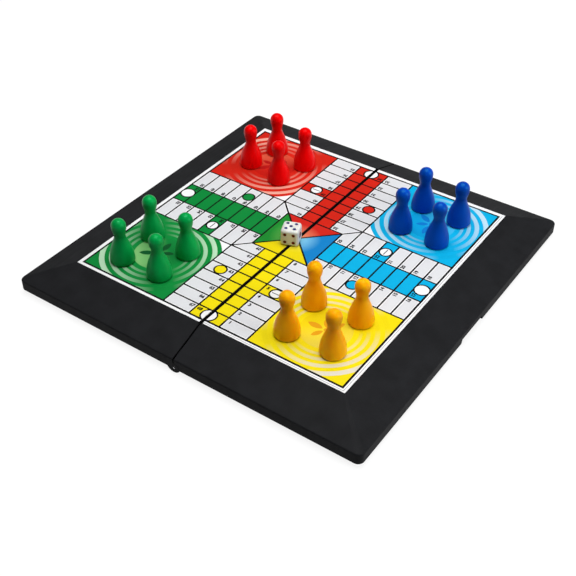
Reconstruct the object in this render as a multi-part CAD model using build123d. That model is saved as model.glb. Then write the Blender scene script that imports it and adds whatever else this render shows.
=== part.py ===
"""Folding ludo board box with sixteen magnetic pawns and one die.

Two shallow tray halves are hinged along the seam. Open, their backs make one square
board; closed, the trays face each other and hold the pieces. Every tray back carries a
thin steel plate and a printed sheet in a shallow recess, so that pawns with a magnet in
the foot stay where they are put.

Frame: +X across the seam, +Y along it, +Z up. z = 0 is the underside of the hinge ears,
the lowest point of the open board. Sizes are in millimetres.
"""
from build123d import *
import os
from functools import cache
from math import atan, cos, sqrt

# ---------------------------------------------------------------- driving dimensions
# Open board
board_across = 200.0        # over both halves, square to the seam
board_along = 200.0         # along the seam
border_run_across = 21.0    # sloped border seen from above, at the long outer walls
border_run_along = 20.55    # the same at the walls that the seam runs into
border_drop = 7.2           # from the print down to the outer crease
print_above_hinge = 12.8    # from the hinge axis up to the print
corner_radius = 3.2         # upright corner of the wall
inner_corner_radius = 1.6   # the same corner inside the tray
frame_corner_radius = 0.6   # where the mitre starts, beside the print
crease_radius = 0.9         # rounding of the outer crease
seam_gap = 0.4              # between the two seam walls
seam_edge_radius = 0.3      # rounding of the two edges along the seam

# Moulded wall
wall = 1.8                  # upright walls
deck = 1.6                  # floor of the tray, under the print
rim_clearance = 0.1         # from each rim to the hinge axis, so the closed rims just miss
rib_height = 1.5            # stiffening ribs under the deck
rib_thickness = 1.0
rib_count_across = 3        # ribs that run across the half
rib_count_along = 1         # ribs that run along the half

# Steel plate and printed sheet in their recess
plate_thickness = 0.3
sheet_thickness = 0.2
seam_lip = 0.9              # plastic left standing along the seam
frame_lip = 0.3             # plastic left standing along the sloped border
recess_play = 0.1           # between the recess and what lies in it

# Hinge: at each end of the seam two ears of the left half straddle one of the right
ear_radius = 3.6            # about the hinge axis
ear_drop = 2.1              # below the hinge axis, where the ear is flattened
ear_clearance = 0.25        # round an ear, in the half that it swings in
ear_side_play = 0.15        # beside each ear
outer_ear_width = 3.0       # left half, flush with the end wall
middle_ear_width = 3.0      # right half
inner_ear_width = 2.6       # left half, holds the blind end of the pin
pin_radius = 0.85
pin_running_play = 0.05     # round the pin, in the ear of the right half
pin_recess = 0.35           # from the end wall to the end of the pin
pin_edge_radius = 0.3
pin_end_floor = 0.8         # plastic left behind the blind end

# Closure: finger notch in the right wall, two snap tongues on the left wall
notch_length = 21.2
notch_height = 2.2
notch_offset = 1.0          # along the seam, from the middle of the wall
notch_slant = 0.8           # the near end of the notch leans by this much
tongue_spacing = 60.0       # between the two tongues
tongue_width = 10.0
tongue_thickness = 1.3
tongue_length = 1.9         # past the rim
tongue_root_start = 0.6     # from the rim up to where a tongue joins the wall
tongue_root = 3.2           # from the rim up to the top of that joint
tongue_play = 0.15          # between the bead of a tongue and the wall of the closed half
snap_bead = 0.35            # the bead stands this far out of the tongue
snap_bead_height = 1.0
snap_catch_depth = 0.35     # the catch stands this far out of the wall of the right half
snap_catch_height = 0.8
snap_catch_start = 0.1      # from the rim up to the catch

# Pawn
pawn_height = 25.0
pawn_base_radius = 6.25
pawn_foot_radius = 5.5      # flat that stands on the board
pawn_foot_rounding = 1.5    # height of the rounded lower edge
pawn_foot_lean = 0.55       # rise of that edge for each unit outwards, where it leaves the flat
pawn_head_radius = 3.7
pawn_throat_radius = 3.3    # where the neck widens into the head
pawn_throat_drop = 3.2      # each drop is measured down from the middle of the head
pawn_neck_radius = 2.8      # the narrowest place
pawn_neck_drop = 5.8
pawn_shoulder_radius = 3.4
pawn_shoulder_drop = 8.3
pawn_belly_radius = 5.0     # half-way up the body
pawn_belly_drop = 12.5
stand_gap = 0.05            # under whatever stands on the print

# Magnet in the foot of a pawn
magnet_radius = 3.0
magnet_thickness = 2.0
magnet_play = 0.05          # round the magnet in its pocket
magnet_recess = 0.1         # from the foot up to the magnet

# Die
die_edge = 9.4
die_rounding = 1.5
die_turn = 21.0             # about the vertical, degrees
die_place = (-1.5, -4.0)
pip_spread = 2.2            # from the middle of a face to a corner pip
pip_radius = 0.9
pip_depth = 0.35
ace_radius = 1.7            # the single pip is larger
ace_depth = 0.5

# Where the pawns stand, from the middle of their home square
home_centre_across = board_across / 4
home_centre_along = board_along / 4
pawn_places = {
    "green": (-1, -1, [(-11.0, -15.0), (12.0, -13.9), (-11.9, 8.6), (12.6, 7.2)]),
    "red": (-1, 1, [(10.9, -12.1), (-11.5, -7.3), (-7.0, 11.6), (14.9, 7.6)]),
    "blue": (1, 1, [(10.1, -13.3), (-11.2, -12.9), (-10.9, 10.6), (10.9, 9.3)]),
    "yellow": (1, -1, [(10.7, -10.9), (-13.0, -12.5), (-14.5, 11.8), (10.1, 13.8)]),
}

# ---------------------------------------------------------------- sizes worked out from them
half_across = board_across / 2
half_along = board_along / 2
hinge_z = ear_drop
print_z = hinge_z + print_above_hinge
crease_z = print_z - border_drop
rim_z = hinge_z + rim_clearance
seam_face = seam_gap / 2
frame_edge_across = half_across - border_run_across
frame_edge_along = half_along - border_run_along
recess_depth = plate_thickness + sheet_thickness
recess_floor_z = print_z - recess_depth
ceiling_z = recess_floor_z - deck
slope_across = border_drop / border_run_across
slope_along = border_drop / border_run_along
inner_wall_across = half_across - wall
inner_wall_along = half_along - wall
tongue_outer = inner_wall_across - tongue_play - snap_bead
LEFT, RIGHT = -1, 1
NEAR, FAR = -1, 1
spill = 5.0                 # how far a cutting tool runs past what it cuts
hair = 0.003                # how near an edge lies to the place where it is looked for


def rounded_section(across, along, radius, z):
    """A rectangle with rounded corners, lying level at height z."""
    return Plane.XY.offset(z) * RectangleRounded(2 * across, 2 * along, radius)


def box_between(x_low, x_high, y_low, y_high, z_low, z_high):
    """A block given by its two corners."""
    centre = Location(((x_low + x_high) / 2, (y_low + y_high) / 2, (z_low + z_high) / 2))
    return centre * Box(abs(x_high - x_low), abs(y_high - y_low), abs(z_high - z_low))


def side_block(side, start, y_low, y_high, z_low, z_high, stop=half_across + spill):
    """A block on one side of the seam, from start to stop away from it."""
    return box_between(side * start, side * stop, y_low, y_high, z_low, z_high)


def beyond_seam(side, start):
    """All that lies further than start from the seam, on one side of it."""
    return side_block(side, start, -half_along - spill, half_along + spill, -spill, print_z + spill)


@cache
def outer_form():
    """Both halves from outside: upright wall, rounded crease and mitred sloping border."""
    at_rim = rounded_section(half_across, half_along, corner_radius, rim_z)
    at_crease = rounded_section(half_across, half_along, corner_radius, crease_z)
    at_print = rounded_section(frame_edge_across, frame_edge_along, frame_corner_radius, print_z)
    form = extrude(at_rim, amount=crease_z - rim_z) + loft([at_crease, at_print])
    crease = form.edges().filter_by_position(Axis.Z, crease_z, crease_z)
    return fillet(crease, crease_radius)


@cache
def cavity_form():
    """The hollow of both trays, which keeps the wall and deck thickness all round."""
    drop_across = deck / cos(atan(slope_across))
    bend_z = crease_z + wall * slope_across - drop_across
    inset_across = wall + (ceiling_z - bend_z) / slope_across
    inset_along = wall + (ceiling_z - bend_z) / slope_along
    at_bend = rounded_section(inner_wall_across, inner_wall_along, inner_corner_radius, bend_z)
    at_ceiling = rounded_section(
        half_across - inset_across, half_along - inset_along, frame_corner_radius, ceiling_z
    )
    below = rounded_section(
        inner_wall_across, inner_wall_along, inner_corner_radius, rim_z - spill
    )
    return extrude(below, amount=bend_z - rim_z + spill) + loft([at_bend, at_ceiling])


def recess(side):
    """The shallow seat of the steel plate and the printed sheet."""
    along = frame_edge_along - frame_lip
    return side_block(
        side, seam_face + seam_lip, -along, along, recess_floor_z, print_z + spill,
        stop=frame_edge_across - frame_lip,
    )


def ribs(side):
    """Low ribs under the deck, crossing at right angles."""
    low, high = ceiling_z - rib_height, ceiling_z + deck / 2
    start, stop = seam_face + wall / 2, frame_edge_across
    found = []
    for number in range(rib_count_across):
        y = frame_edge_along * (2 * (number + 1) / (rib_count_across + 1) - 1)
        found.append(side_block(
            side, start, y - rib_thickness / 2, y + rib_thickness / 2, low, high, stop=stop
        ))
    for number in range(rib_count_along):
        x = start + (stop - start) * (number + 1) / (rib_count_along + 1)
        found.append(side_block(
            side, x - rib_thickness / 2, -frame_edge_along, frame_edge_along, low, high,
            stop=x + rib_thickness / 2,
        ))
    return found


def tray(side):
    """One moulded half before its hinge and closure are added."""
    body = outer_form() & beyond_seam(side, seam_face)
    body -= cavity_form() & beyond_seam(side, seam_face + wall)
    for rib in ribs(side):
        body += rib
    body -= recess(side)
    at_seam = body.edges().filter_by_position(
        Axis.X, side * seam_face - hair, side * seam_face + hair
    )
    seam_edges = [
        edge for edge in at_seam
        if edge.center().Z > crease_z and abs(edge.center().Y) < half_along - crease_radius
    ]
    return fillet(seam_edges, seam_edge_radius)


# ---------------------------------------------------------------- hinge
def ear_spans(end):
    """Where each ear lies along the seam at one end: outer, middle and inner."""
    outer = (half_along - outer_ear_width, half_along)
    middle_top = outer[0] - ear_side_play
    middle = (middle_top - middle_ear_width, middle_top)
    inner_top = middle[0] - ear_side_play
    inner = (inner_top - inner_ear_width, inner_top)
    return {
        name: tuple(sorted((end * low, end * high)))
        for name, (low, high) in {"outer": outer, "middle": middle, "inner": inner}.items()
    }


def ear_plane(y):
    """An upright plane square to the hinge axis, centred on it."""
    return Plane(origin=(0, y, hinge_z), x_dir=(1, 0, 0), z_dir=(0, -1, 0))


def round_bar(y_low, y_high, radius):
    """A round bar along the hinge axis."""
    return extrude(ear_plane(y_high) * Circle(radius), amount=y_high - y_low)


def ear(side, span):
    """A knuckle: round about the pin, flattened below, with a web up to the deck."""
    y_low, y_high = span
    lower = ThreePointArc((-ear_radius, 0), (0, -ear_drop), (ear_radius, 0))
    upper = ThreePointArc((ear_radius, 0), (0, ear_radius), (-ear_radius, 0))
    knuckle = extrude(ear_plane(y_high) * make_face([lower, upper]), amount=y_high - y_low)
    web = outer_form() & side_block(
        side, seam_face, y_low, y_high, rim_z, recess_floor_z - deck / 2, stop=ear_radius
    )
    return knuckle + web


def ear_room(span, open_end):
    """What one half gives up so that an ear of the other can swing in it."""
    low, high = sorted(abs(y) for y in span)
    low -= ear_side_play
    high = half_along + spill if open_end else high + ear_side_play
    ends = sorted((span[0] / abs(span[0]) * low, span[0] / abs(span[0]) * high))
    return round_bar(ends[0], ends[1], ear_radius + ear_clearance)


def pin_span(end):
    """The two ends of a hinge pin along the seam."""
    inner_low = min(abs(y) for y in ear_spans(end)["inner"])
    return sorted((end * (inner_low + pin_end_floor), end * (half_along - pin_recess)))


def pin_bore(end, radius):
    """The bore of a hinge pin, open at the end wall."""
    blind = min(abs(y) for y in pin_span(end))
    low, high = sorted((end * blind, end * (half_along + spill)))
    return round_bar(low, high, radius)


def hinge_pin(end):
    """A plain steel pin with rounded ends, pressed into the ears of the left half."""
    low, high = pin_span(end)
    bar = round_bar(low, high, pin_radius)
    return fillet(bar.edges().filter_by(GeomType.CIRCLE), pin_edge_radius)


# ---------------------------------------------------------------- closure
def finger_notch():
    """The cut in the middle of the right wall, open at the rim; its near end leans."""
    far, near = notch_offset + notch_length / 2, notch_offset - notch_length / 2
    outline = Polyline(
        (near - notch_slant / 2, 0), (near + notch_slant / 2, notch_height),
        (far, notch_height), (far, -spill), (near - notch_slant / 2, -spill), close=True,
    )
    wall_plane = Plane(
        origin=(inner_wall_across - wall / 2, 0, rim_z), x_dir=(0, 1, 0), z_dir=(1, 0, 0)
    )
    return extrude(wall_plane * make_face(outline), amount=2 * wall + spill)


def tongue_places():
    """The middle of each snap tongue along the wall."""
    return [-tongue_spacing / 2, tongue_spacing / 2]


def wall_ridge(side, foot_x, edge_x, y, z_low, z_high):
    """A low ridge along an outer wall: it stands on foot_x and comes to an edge at edge_x."""
    buried_x = 2 * foot_x - edge_x
    outline = [
        (buried_x, z_low), (foot_x, z_low), (edge_x, (z_low + z_high) / 2),
        (foot_x, z_high), (buried_x, z_high),
    ]
    section = Plane(origin=(0, y + tongue_width / 2, 0), x_dir=(1, 0, 0), z_dir=(0, -1, 0))
    face = make_face(Polyline(*[(side * x, z) for x, z in outline], close=True))
    return extrude(section * face, amount=tongue_width)


def snap_tongue(y):
    """A short tongue inside the left wall, with a bead that clicks behind the right catch."""
    edges = (y - tongue_width / 2, y + tongue_width / 2)
    inner = tongue_outer - tongue_thickness
    joint_z = rim_z + tongue_root_start
    root = side_block(
        LEFT, inner, *edges, joint_z, rim_z + tongue_root, stop=inner_wall_across + wall / 2
    )
    blade = side_block(LEFT, inner, *edges, rim_z - tongue_length, joint_z, stop=tongue_outer)
    bead_low = rim_z - tongue_length + snap_bead / 2
    bead = wall_ridge(
        LEFT, tongue_outer, tongue_outer + snap_bead, y, bead_low, bead_low + snap_bead_height
    )
    return root + blade + bead


def snap_catch(y):
    """The catch inside the right wall, near its rim, that the bead of a tongue clicks behind."""
    low = rim_z + snap_catch_start
    return wall_ridge(
        RIGHT, inner_wall_across, inner_wall_across - snap_catch_depth, y, low,
        low + snap_catch_height,
    )


# ---------------------------------------------------------------- case halves
def case_left():
    """Left half: two ears at each end of the seam, and the snap tongues."""
    body = tray(LEFT)
    for end in (NEAR, FAR):
        spans = ear_spans(end)
        body -= ear_room(spans["middle"], open_end=False)
        for name in ("outer", "inner"):
            body += ear(LEFT, spans[name])
        body -= pin_bore(end, pin_radius)
    for y in tongue_places():
        body += snap_tongue(y)
    return body


def case_right():
    """Right half: one ear at each end of the seam, the finger notch and the snap catches."""
    body = tray(RIGHT)
    for end in (NEAR, FAR):
        spans = ear_spans(end)
        body -= ear_room(spans["outer"], open_end=True)
        body -= ear_room(spans["inner"], open_end=False)
        body += ear(RIGHT, spans["middle"])
        body -= pin_bore(end, pin_radius + pin_running_play)
    for y in tongue_places():
        body += snap_catch(y)
    return body - finger_notch()


def laid_in(side, low, thickness):
    """A thin piece that fills the recess of one half, less the play all round."""
    along = frame_edge_along - frame_lip - recess_play
    return side_block(
        side, seam_face + seam_lip + recess_play, -along, along, low, low + thickness,
        stop=frame_edge_across - frame_lip - recess_play,
    )


def steel_plate(side):
    """The thin steel plate that the magnets hold to."""
    return laid_in(side, recess_floor_z, plate_thickness)


def print_sheet(side):
    """The printed sheet, glued on the steel plate."""
    return laid_in(side, recess_floor_z + plate_thickness, sheet_thickness)


# ---------------------------------------------------------------- pawns
def pawn_blank():
    """A turned pawn standing on the origin: round head, drawn-in neck, bell-shaped body."""
    head_z = pawn_height - pawn_head_radius
    across_head = pawn_head_radius * sqrt(0.5)
    foot = Line((0, 0), (pawn_foot_radius, 0))
    edge = TangentArc(
        (pawn_foot_radius, 0), (pawn_base_radius, pawn_foot_rounding), tangent=(1, pawn_foot_lean)
    )
    body = Spline(
        (pawn_base_radius, pawn_foot_rounding),
        (pawn_belly_radius, head_z - pawn_belly_drop),
        (pawn_shoulder_radius, head_z - pawn_shoulder_drop),
        (pawn_neck_radius, head_z - pawn_neck_drop),
        (pawn_throat_radius, head_z - pawn_throat_drop),
        (pawn_head_radius, head_z),
        tangents=[(0, 1), (0, 1)],
    )
    head = ThreePointArc(
        (pawn_head_radius, head_z), (across_head, head_z + across_head), (0, pawn_height)
    )
    axis = Line((0, pawn_height), (0, 0))
    profile = Plane.XZ * make_face([foot, edge, body, head, axis])
    return revolve(profile, Axis.Z)


def magnet_blank():
    """A disc magnet standing on the origin."""
    return extrude(Circle(magnet_radius), amount=magnet_thickness)


def pawns_and_magnets():
    """Every pawn and its magnet, by node name, each where it stands on its home."""
    pocket = extrude(Circle(magnet_radius + magnet_play), amount=magnet_recess + magnet_thickness)
    pawn = pawn_blank() - pocket
    magnet = Pos(0, 0, magnet_recess) * magnet_blank()
    found = {}
    for colour, (side, end, offsets) in pawn_places.items():
        for number, (across, along) in enumerate(offsets, start=1):
            place = Pos(
                side * home_centre_across + across, end * home_centre_along + along,
                print_z + stand_gap,
            )
            found[f"pawn_{colour}_{number}"] = place * pawn
            found[f"magnet_{colour}_{number}"] = place * magnet
    return found


# ---------------------------------------------------------------- die
pip_patterns = {
    1: [(0, 0)],
    2: [(-1, 1), (1, -1)],
    3: [(-1, 1), (0, 0), (1, -1)],
    4: [(-1, -1), (-1, 1), (1, -1), (1, 1)],
    5: [(-1, -1), (-1, 1), (0, 0), (1, -1), (1, 1)],
    6: [(-1, -1), (-1, 0), (-1, 1), (1, -1), (1, 0), (1, 1)],
}
# count on each face: its outward normal and the direction that its pattern calls up
die_faces = {
    5: ((0, 0, 1), (1, 0, 0)), 2: ((0, 0, -1), (1, 0, 0)),
    4: ((0, -1, 0), (1, 0, 0)), 3: ((0, 1, 0), (1, 0, 0)),
    1: ((1, 0, 0), (0, 1, 0)), 6: ((-1, 0, 0), (0, 1, 0)),
}


def dimple(radius, depth):
    """A ball that leaves a round dimple of the given radius and depth, centred on z = 0."""
    ball = (radius ** 2 + depth ** 2) / (2 * depth)
    return Pos(0, 0, ball - depth) * Sphere(ball)


def die():
    """A rounded cube with dimpled pips, opposite faces adding up to seven."""
    cube = Box(die_edge, die_edge, die_edge)
    cube = fillet(cube.edges(), die_rounding)
    for count, (normal, across) in die_faces.items():
        radius, depth = (ace_radius, ace_depth) if count == 1 else (pip_radius, pip_depth)
        face_plane = Plane(
            origin=tuple(n * die_edge / 2 for n in normal), x_dir=across, z_dir=normal
        )
        for u, v in pip_patterns[count]:
            cube -= face_plane * Pos(u * pip_spread, v * pip_spread, 0) * dimple(radius, depth)
    place = Pos(die_place[0], die_place[1], print_z + stand_gap + die_edge / 2)
    return place * Rot(0, 0, die_turn) * cube


# ---------------------------------------------------------------- the set
def all_nodes():
    """Every piece by its node name, in its place on the open board."""
    nodes = {
        "case_half_left": case_left(),
        "case_half_right": case_right(),
        "steel_plate_left": steel_plate(LEFT),
        "steel_plate_right": steel_plate(RIGHT),
        "print_sheet_left": print_sheet(LEFT),
        "print_sheet_right": print_sheet(RIGHT),
        "hinge_pin_near": hinge_pin(NEAR),
        "hinge_pin_far": hinge_pin(FAR),
        "die": die(),
    }
    nodes.update(pawns_and_magnets())
    return nodes


os.makedirs("parts", exist_ok=True)
for node_name, shape in all_nodes().items():
    export_step(shape, f"parts/{node_name}.step")
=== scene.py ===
"""Dresses the folding ludo board: printed face, numbers, pips, finishes, studio and camera.

Sizes are in millimetres and are turned into metres where a mesh is made. A team's arm of the
board is described by u, the distance from the middle of the board along the arm, and v, the
distance sideways, so that one set of rules lays out all four arms.
"""

import logging
import math
from abc import ABC, abstractmethod
from dataclasses import dataclass, field
from enum import Enum
from functools import cached_property
from typing import Callable

import bpy
from mathutils import Matrix, Vector


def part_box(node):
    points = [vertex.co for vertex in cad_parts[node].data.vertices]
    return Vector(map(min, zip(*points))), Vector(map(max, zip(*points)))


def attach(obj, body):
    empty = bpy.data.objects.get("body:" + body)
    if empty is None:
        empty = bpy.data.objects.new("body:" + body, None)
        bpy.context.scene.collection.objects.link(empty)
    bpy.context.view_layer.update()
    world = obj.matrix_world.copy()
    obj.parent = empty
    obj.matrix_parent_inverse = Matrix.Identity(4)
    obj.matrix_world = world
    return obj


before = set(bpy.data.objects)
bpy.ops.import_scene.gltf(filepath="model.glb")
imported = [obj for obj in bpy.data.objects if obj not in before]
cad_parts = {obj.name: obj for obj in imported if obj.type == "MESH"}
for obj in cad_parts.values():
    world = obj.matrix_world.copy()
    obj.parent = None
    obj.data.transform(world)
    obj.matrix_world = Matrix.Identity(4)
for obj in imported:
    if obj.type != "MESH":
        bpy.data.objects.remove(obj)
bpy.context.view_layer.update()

MM = 0.001
HAIR = 1e-7
log = logging.getLogger("ludo_board")

Triple = tuple[float, float, float]
Colour = Triple
Socket = bpy.types.NodeSocket
FaceTest = Callable[[bpy.types.MeshPolygon], bool]


class Side(Enum):
    """The two halves of the board, by the sign of x."""

    LEFT = -1
    RIGHT = 1

    @property
    def word(self) -> str:
        """The side as it stands in names."""
        return self.name.lower()

    @property
    def body(self) -> str:
        """The CAD body of this half."""
        return f"{self.word}_half"


class Team(Enum):
    """The four players, in the order in which the numbers run round the board."""

    YELLOW = 0
    BLUE = 1
    RED = 2
    GREEN = 3

    @property
    def word(self) -> str:
        """The team as it stands in names."""
        return self.name.lower()

    @property
    def angle(self) -> float:
        """The turn of this team's arm from the yellow one, in radians."""
        return self.value * math.pi / 2

    @property
    def outward(self) -> Vector:
        """The way from the middle of the board along this team's arm."""
        return Vector((round(math.sin(self.angle)), -round(math.cos(self.angle)), 0))

    @property
    def sideways(self) -> Vector:
        """The way across the arm, towards the team's own home."""
        return Vector((-self.outward.y, self.outward.x, 0))


class Level(Enum):
    """Coats of ink on the sheet, counted upwards."""

    GROUND = 0
    FIGURE = 1
    ACCENT = 2


class Sweep(Enum):
    """Where a sweeping ink turns pale."""

    BOTH_ENDS = "both ends"
    OUTER_END = "outer end"


class Motif(Enum):
    """What is printed on a home square."""

    RIPPLES = "ripples"
    HEART = "heart"
    ROSETTE = "rosette"
    BLANK_CORNER = "blank_corner"


# ---------------------------------------------------------------- finishes
def linear(colour: Colour) -> tuple[float, float, float, float]:
    """Turns a colour as the eye reads it, 0 to 255, into scene-linear values.

    Args:
        colour: Red, green and blue from 0 to 255.

    Returns:
        The linear colour with full opacity.
    """
    parts = [c / 255 for c in colour]
    return (*[p / 12.92 if p <= 0.04045 else ((p + 0.055) / 1.055) ** 2.4 for p in parts], 1.0)


def shade(colour: Colour, factor: float) -> Colour:
    """A darker or lighter tone of a colour, held under full white."""
    return tuple(min(255.0, c * factor) for c in colour)


class Recipe:
    """A material being put together from nodes on Object coordinates."""

    def __init__(self, name: str) -> None:
        """Starts a material with its shader.

        Args:
            name: The material's name.
        """
        self.material = bpy.data.materials.new(name)
        self.material.use_nodes = True
        self.tree = self.material.node_tree
        self.shader = self.tree.nodes["Principled BSDF"]
        self.place = self.tree.nodes.new("ShaderNodeTexCoord").outputs["Object"]

    def feed(self, socket: Socket, value: object) -> None:
        """Links an output into a socket, or sets the socket's own value.

        Args:
            socket: The input socket.
            value: An output socket or a plain value.
        """
        if isinstance(value, bpy.types.NodeSocket):
            self.tree.links.new(value, socket)
        else:
            socket.default_value = value

    def coat(self, **inputs: object) -> None:
        """Fills or links inputs of the shader, which are named with _ for spaces.

        Args:
            **inputs: A value or an output socket for each named input.
        """
        for name, value in inputs.items():
            self.feed(self.shader.inputs[name.replace("_", " ")], value)

    def node(self, kind: str, **inputs: object) -> bpy.types.Node:
        """Adds a node and fills or links its inputs, which are named with _ for spaces.

        Args:
            kind: The node's type.
            **inputs: A value or an output socket for each named input.

        Returns:
            The node.
        """
        node = self.tree.nodes.new(kind)
        for name, value in inputs.items():
            self.feed(node.inputs[name.replace("_", " ")], value)
        return node

    def operate(self, kind: str, operation: str, *values: object) -> bpy.types.Node:
        """Adds a node that works something out.

        Args:
            kind: The node's type, Math or Vector Math.
            operation: What it works out.
            *values: A value or an output socket for each of its inputs, in their order.

        Returns:
            The node.
        """
        node = self.tree.nodes.new(kind)
        node.operation = operation
        for socket, value in zip(node.inputs, values):
            self.feed(socket, value)
        return node

    def math(self, operation: str, *values: object) -> Socket:
        """The result of a sum on numbers."""
        return self.operate("ShaderNodeMath", operation, *values).outputs["Value"]

    def vector_math(self, operation: str, *values: object) -> bpy.types.Node:
        """A node with a sum on vectors."""
        return self.operate("ShaderNodeVectorMath", operation, *values)

    def noise(self, grain_mm: float, detail: float = 3.0, stretch: Triple = (1, 1, 1)) -> Socket:
        """A cloudy pattern.

        Args:
            grain_mm: Size of one blotch.
            detail: How many finer layers it has.
            stretch: How much longer the blotches are along each axis.

        Returns:
            The pattern's value, from 0 to 1.
        """
        scale = tuple(1 / (grain_mm * MM * s) for s in stretch)
        mapping = self.node("ShaderNodeMapping", Vector=self.place, Scale=scale)
        noise = self.node("ShaderNodeTexNoise", Vector=mapping.outputs[0], Scale=1.0, Detail=detail)
        return noise.outputs["Fac"]

    def between(
        self, value: Socket, low: float, high: float, start: float = 0.3, stop: float = 0.7
    ) -> Socket:
        """Spreads a value that runs from start to stop over low to high.

        Args:
            value: The value.
            low: The result up to the start.
            high: The result from the stop on.
            start: Where the value starts to count.
            stop: Where it no longer counts.

        Returns:
            The spread value.
        """
        node = self.node(
            "ShaderNodeMapRange", Value=value, From_Min=start, From_Max=stop, To_Min=low, To_Max=high
        )
        return node.outputs["Result"]

    def blend(self, share: Socket, first: object, second: object) -> Socket:
        """Mixes two colours.

        Args:
            share: The share of the second colour, from 0 to 1.
            first: A colour or an output socket.
            second: A colour or an output socket.

        Returns:
            The mixed colour.
        """
        node = self.tree.nodes.new("ShaderNodeMix")
        node.data_type = "RGBA"
        colour_inputs = [i for i in node.inputs if i.type == "RGBA"]
        self.feed(node.inputs["Factor"], share)
        self.feed(colour_inputs[0], first)
        self.feed(colour_inputs[1], second)
        return next(o for o in node.outputs if o.type == "RGBA")

    def tones(self, share: Socket, colour: Colour, darkest: float, lightest: float) -> Socket:
        """A colour that wanders between a darker and a lighter tone of itself."""
        return self.blend(share, linear(shade(colour, darkest)), linear(shade(colour, lightest)))

    def from_middle(self) -> Socket:
        """The distance from the vertical line through the middle of the board, in metres."""
        flat = self.vector_math("MULTIPLY", self.place, (1, 1, 0)).outputs["Vector"]
        return self.vector_math("LENGTH", flat).outputs["Value"]

    def along(self, axis: str) -> Socket:
        """The place along one axis of the board, in metres."""
        return self.node("ShaderNodeSeparateXYZ", Vector=self.place).outputs[axis]

    def relief(self, height: Socket, depth_mm: float, strength: float) -> None:
        """Turns a pattern into small bumps of the given depth."""
        bump = self.node("ShaderNodeBump", Height=height, Distance=depth_mm * MM, Strength=strength)
        self.coat(Normal=bump.outputs["Normal"])

    def sum_of(self, first: Socket, second: Socket, share: float) -> Socket:
        """Adds a share of a second pattern to a first one."""
        return self.math("MULTIPLY_ADD", second, share, first)


@dataclass(frozen=True)
class Finish(ABC):
    """A named surface, which becomes a material once."""

    name: str

    @cached_property
    def material(self) -> bpy.types.Material:
        """The finish as a material, made when it is first asked for."""
        recipe = Recipe(self.name)
        self.mix(recipe)
        return recipe.material

    @abstractmethod
    def mix(self, recipe: Recipe) -> None:
        """Puts the finish together on a new recipe."""


@dataclass(frozen=True)
class CasePlastic(Finish):
    """Charcoal moulded plastic with a fine spark-eroded grain, and painted shade: near black along
    the seam where the halves meet.
    """

    name: str = "case_plastic"
    colour: Colour = (27.0, 27.5, 29.5)
    roughness: float = 0.6
    gloss: float = 0.06
    # The seam colour, reaches and fade below paint shade along the seam: a painted shadow of the gap
    # between the halves.
    seam_colour: Colour = (5.0, 5.0, 6.0)
    seam_reach: float = 0.5
    seam_reach_on_print: float = 1.0
    seam_fade: float = 0.1
    print_heights: tuple[float, float] = (14.6, 14.8)

    def clear_of_seam(self, recipe: Recipe) -> Socket:
        """How clear of the painted seam shade a place is.

        Args:
            recipe: The material that asks for it.

        Returns:
            A share that is 0 in the painted shade along the seam and 1 beyond it.
        """
        low, high = self.print_heights
        reach = recipe.between(
            recipe.along("Z"), self.seam_reach, self.seam_reach_on_print, low * MM, high * MM
        )
        steps = recipe.math("ABSOLUTE", recipe.math("DIVIDE", recipe.along("X"), reach))
        return recipe.between(steps, 0, 1, MM, (1 + self.seam_fade) * MM)

    def mix(self, recipe: Recipe) -> None:
        """Puts clouds, grain, fine rubs and the painted shade along the seam together.

        Args:
            recipe: The new recipe.
        """
        clouds = recipe.noise(grain_mm=9.0, detail=4.0)
        grain = recipe.noise(grain_mm=0.35, detail=2.0)
        ripple = recipe.noise(grain_mm=0.9, detail=2.0)
        rubs = recipe.noise(grain_mm=1.4, stretch=(1, 14, 6))
        mottle = recipe.between(recipe.sum_of(clouds, grain, 0.35), 0, 1, 0.45, 0.85)
        tone = recipe.tones(mottle, self.colour, 0.9, 1.12)
        recipe.coat(
            # Painted shade: the plastic turns near black along both edges of the seam, wider on the
            # print's border, standing in for the shadow in the gap.
            Base_Color=recipe.blend(self.clear_of_seam(recipe), linear(self.seam_colour), tone),
            Roughness=recipe.between(rubs, self.roughness - 0.03, self.roughness + 0.03),
            Specular_IOR_Level=self.gloss,
        )
        recipe.relief(recipe.sum_of(grain, ripple, 0.6), depth_mm=0.03, strength=0.5)


@dataclass(frozen=True)
class PrintFinish(Finish):
    """Printing ink under a thin half-glossy film; the kinds differ in how their tone runs."""

    def dots(self, recipe: Recipe) -> Socket:
        """The fine dots of the print."""
        return recipe.noise(grain_mm=0.3, detail=2.0)

    def drift(self, recipe: Recipe) -> Socket:
        """The slow drift of the print over the sheet."""
        return recipe.noise(grain_mm=14.0, detail=2.0)

    def dotted_run(
        self, recipe: Recipe, share: Socket, first: Colour, second: Colour, dot_tone: float
    ) -> Socket:
        """A run from one colour to another, with fine darker dots all over it.

        Args:
            recipe: The material that asks for it.
            share: The share of the second colour.
            first: The colour where the share is 0.
            second: The colour where the share is 1.
            dot_tone: How much darker the dots are.

        Returns:
            The colour.
        """
        run = recipe.blend(share, linear(first), linear(second))
        darker = recipe.blend(share, linear(shade(first, dot_tone)), linear(shade(second, dot_tone)))
        return recipe.blend(recipe.between(self.dots(recipe), 0, 1), darker, run)

    @abstractmethod
    def tone(self, recipe: Recipe) -> Socket:
        """The colour of the ink from place to place."""

    def mix(self, recipe: Recipe) -> None:
        """Lays the ink's tone under its film.

        Args:
            recipe: The new recipe.
        """
        recipe.coat(
            Base_Color=self.tone(recipe),
            Roughness=recipe.between(self.drift(recipe), 0.42, 0.5),
            Specular_IOR_Level=0.12,
        )
        recipe.relief(recipe.noise(grain_mm=1.6, detail=2.0), depth_mm=0.012, strength=0.4)


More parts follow.
